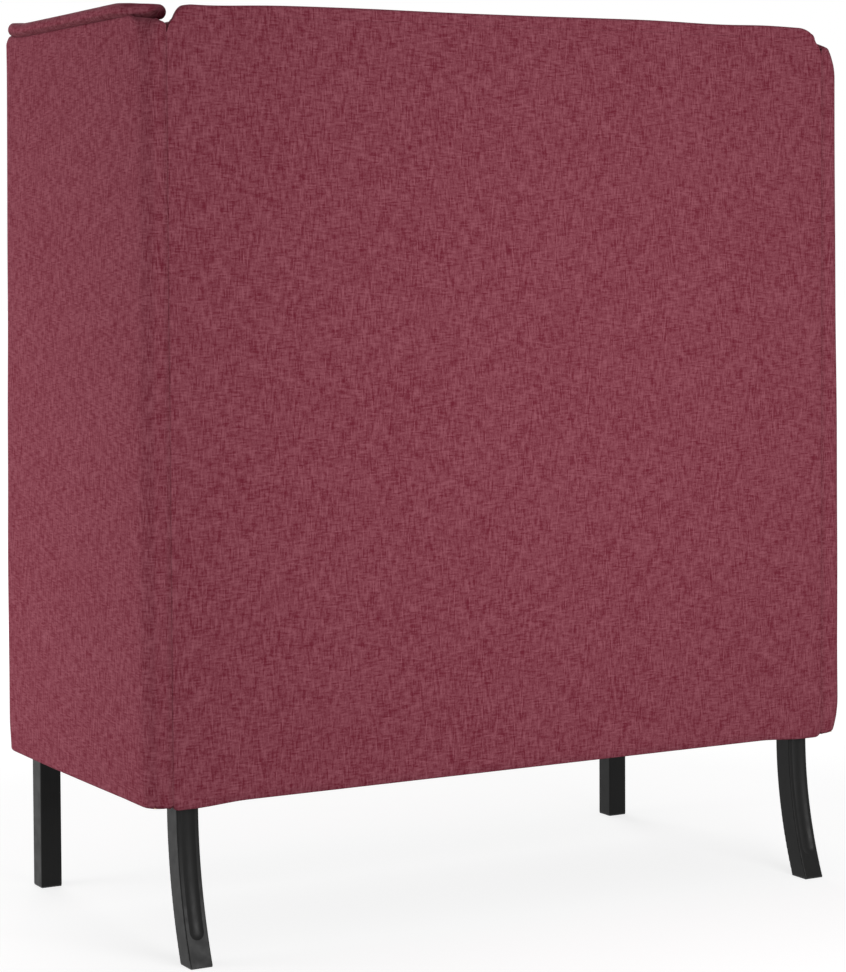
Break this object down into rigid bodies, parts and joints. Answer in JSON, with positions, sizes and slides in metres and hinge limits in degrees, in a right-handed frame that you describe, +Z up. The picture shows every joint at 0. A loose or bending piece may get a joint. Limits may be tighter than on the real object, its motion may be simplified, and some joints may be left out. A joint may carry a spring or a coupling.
{
  "type": "high-back sofa",
  "caption": "High-back sofa with full-height padded wings, loose bench cushion, straight front legs and curved rear legs, covered in plain woven fabric.",
  "frame": {"origin": "on the floor under the middle of the bounding box", "axes": "+Z up; the seat faces -Y and the outer back faces +Y; +X is the right-hand wing seen from the front"},
  "size_m": [1.124, 0.5856, 1.2565],
  "materials": {
    "upholstery": "wine-red slubby plain weave, matt",
    "lining": "black non-woven cloth and felt",
    "foam": "pale polyurethane foam",
    "webbing": "elastic upholstery webbing",
    "leg_lacquer": "black satin lacquer on hardwood",
    "glide_plastic": "moulded black plastic",
    "steel": "zinc plated",
    "board": "bare hardboard",
    "timber": "planed softwood"
  },
  "bodies": {
    "sofa": {"back_board": "board", "back_bottom_rail": "timber", "back_centre_stile": "timber", "back_lumbar_rail": "timber", "back_post_left": "timber", "back_post_right": "timber", "back_to_wing_bolts": "steel", "back_top_band": "upholstery", "back_top_rail": "timber", "back_webbing": "webbing", "bolt_washers": "steel", "dust_cover": "lining", "foot_glides": "glide_plastic", "front_leg_left": "leg_lacquer", "front_leg_right": "leg_lacquer", "insert_nuts": "steel", "inside_back_pad": "upholstery", "leg_hanger_bolts": "steel", "outer_back_cover": "upholstery", "rear_leg_left": "leg_lacquer", "rear_leg_right": "leg_lacquer", "seat_centre_rail": "timber", "seat_corner_blocks": "timber", "seat_deck_pad": "lining", "seat_front_border": "upholstery", "seat_front_rail": "timber", "seat_rear_rail": "timber", "seat_side_rail_left": "timber", "seat_side_rail_right": "timber", "seat_springs": "steel", "seat_to_back_bolts": "steel", "seat_to_wing_bolts": "steel", "spring_clips": "steel", "spring_tie_wires": "steel", "wing_bottom_rail_left": "timber", "wing_bottom_rail_right": "timber", "wing_edge_pads_left": "upholstery", "wing_edge_pads_right": "upholstery", "wing_front_post_left": "timber", "wing_front_post_right": "timber", "wing_inner_board_left": "board", "wing_inner_board_right": "board", "wing_inner_cover_left": "upholstery", "wing_inner_cover_right": "upholstery", "wing_mid_rail_left": "timber", "wing_mid_rail_right": "timber", "wing_outer_board_left": "board", "wing_outer_board_right": "board", "wing_outer_cover_left": "upholstery", "wing_outer_cover_right": "upholstery", "wing_rear_post_left": "timber", "wing_rear_post_right": "timber", "wing_top_band_left": "upholstery", "wing_top_band_right": "upholstery", "wing_top_rail_left": "timber", "wing_top_rail_right": "timber"},
    "seat_cushion": {"seat_cushion_core": "foam", "seat_cushion_cover": "upholstery"}
  },
  "joints": [
    {"name": "seat_cushion_lift", "type": "slide", "parent": "sofa", "child": "seat_cushion", "axis": [0, 0, 1], "range_m": [0, 0.2]}
  ]
}
